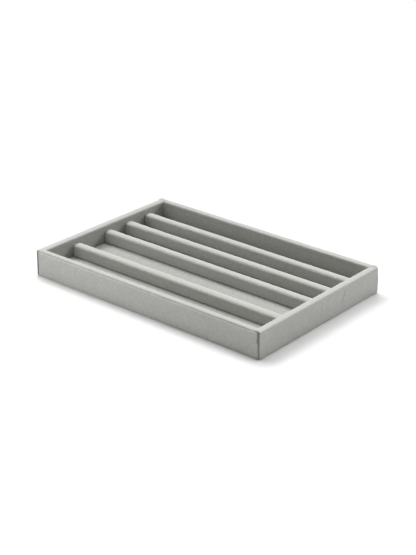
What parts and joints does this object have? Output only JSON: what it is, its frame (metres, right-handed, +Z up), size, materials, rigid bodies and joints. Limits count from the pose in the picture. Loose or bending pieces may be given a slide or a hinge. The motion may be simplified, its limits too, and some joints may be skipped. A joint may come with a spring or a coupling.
{
  "type": "jewelry tray",
  "caption": "Flat rectangular velvet-covered tray with rounded rims, whose fixed lengthwise dividers leave wide channels in front and narrow channels behind.",
  "frame": {"origin": "centre of the footprint, on the surface the tray rests on", "axes": "+X along the length and the channels, to the right; +Y from the wide channels to the narrow ones, to the back; +Z up"},
  "size_m": [0.3, 0.202, 0.0292],
  "materials": {
    "velvet": "short-pile grey velvet, matt with a soft sheen",
    "lining_velvet": "short-pile grey velvet, laid flat",
    "fibreboard": "raw sawn fibreboard",
    "card": "plain grey card",
    "felt": "thin dark felt"
  },
  "bodies": {
    "root": {"front_board": "fibreboard", "rear_board": "fibreboard", "left_board": "fibreboard", "right_board": "fibreboard", "base_board": "fibreboard", "divider_board_1": "fibreboard", "divider_board_2": "fibreboard", "divider_board_3": "fibreboard", "divider_board_4": "fibreboard", "lining_card": "card", "backing_sheet": "felt", "front_cover": "velvet", "rear_cover": "velvet", "left_cover": "velvet", "right_cover": "velvet", "front_panel": "velvet", "rear_panel": "velvet", "lining_cover": "lining_velvet", "divider_cover_1": "velvet", "divider_cover_2": "velvet", "divider_cover_3": "velvet", "divider_cover_4": "velvet"}
  },
  "joints": []
}
